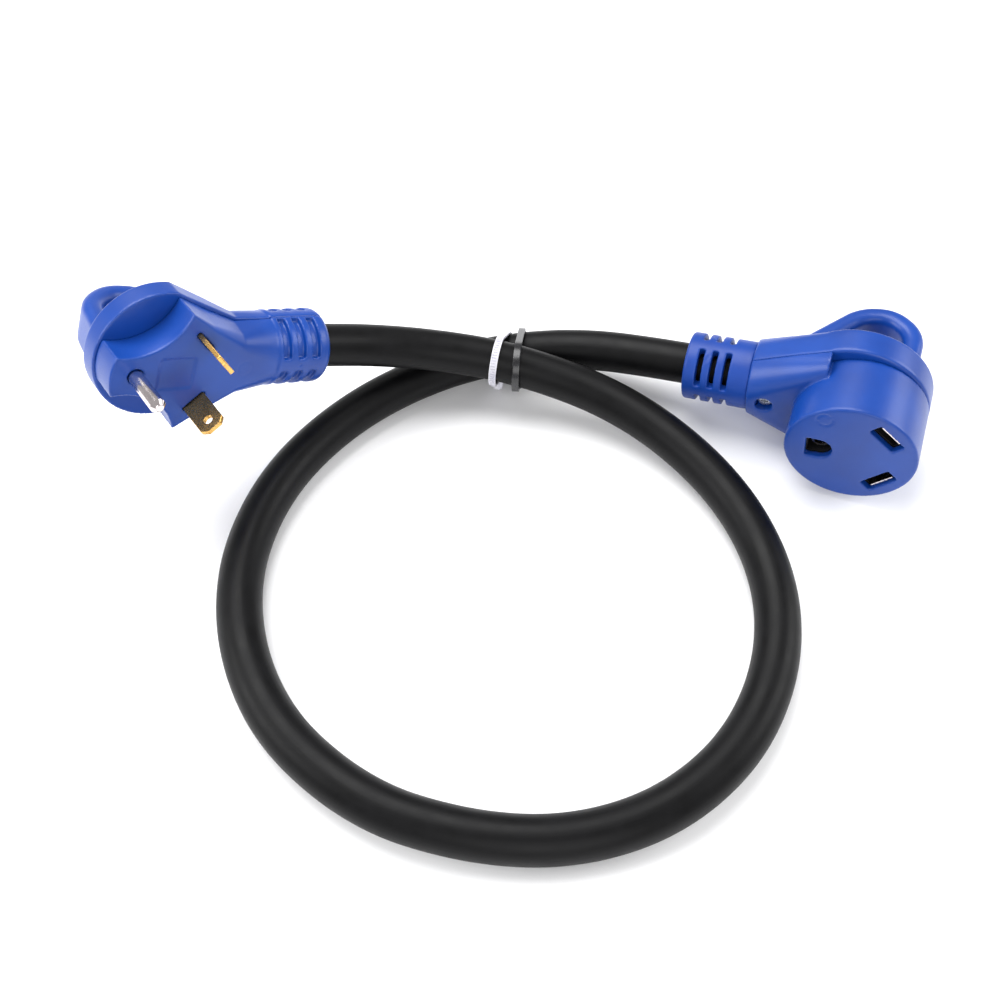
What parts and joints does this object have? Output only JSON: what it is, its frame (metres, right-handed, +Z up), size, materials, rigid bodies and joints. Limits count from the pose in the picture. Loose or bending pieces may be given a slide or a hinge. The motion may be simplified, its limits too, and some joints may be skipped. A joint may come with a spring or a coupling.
{
  "type": "shore power cord",
  "caption": "Short heavy power cord looped once and tied, with a right-angle bladed plug and a matching round female connector, both blue with grip handles.",
  "frame": {"origin": "on the ground below the middle of the box round the plug and the connector", "axes": "+X from the plug to the connector, +Y from the looped cord's front towards its crossing, +Z up"},
  "size_m": [0.3116, 0.2232, 0.0937],
  "materials": {
    "blue_shell": "satin moulded PVC, fine grain",
    "blue_collar": "satin moulded PVC, slightly softer",
    "black_carrier": "moulded nylon",
    "brass": "stamped and tumbled",
    "nickel": "bright nickel plate",
    "black_insulation": "extruded PVC",
    "white_insulation": "extruded PVC",
    "green_insulation": "extruded PVC",
    "zinc_steel": "zinc plated",
    "black_rubber": "satin thermoset jacket",
    "white_nylon": "moulded nylon strap",
    "black_nylon": "moulded nylon strap"
  },
  "bodies": {
    "root": {"plug_front_shell": "blue_shell", "plug_back_cover": "blue_shell", "plug_contact_carrier": "black_carrier", "plug_hot_blade": "brass", "plug_neutral_blade": "brass", "plug_ground_pin": "nickel", "plug_hot_wire": "black_insulation", "plug_neutral_wire": "white_insulation", "plug_ground_wire": "green_insulation", "plug_terminal_screws": "zinc_steel", "plug_cord_clamp": "zinc_steel", "plug_clamp_screws": "zinc_steel", "plug_cover_screws": "zinc_steel", "connector_front_shell": "blue_shell", "connector_back_cover": "blue_shell", "connector_contact_carrier": "black_carrier", "connector_hot_contact": "nickel", "connector_neutral_contact": "nickel", "connector_ground_contact": "nickel", "connector_hot_wire": "black_insulation", "connector_neutral_wire": "white_insulation", "connector_ground_wire": "green_insulation", "connector_terminal_screws": "zinc_steel", "connector_cord_clamp": "zinc_steel", "connector_clamp_screw": "zinc_steel", "connector_strain_relief": "blue_collar", "connector_cover_screws": "zinc_steel", "cord_jacket": "black_rubber", "white_cable_tie": "white_nylon", "black_cable_tie": "black_nylon"}
  },
  "joints": []
}
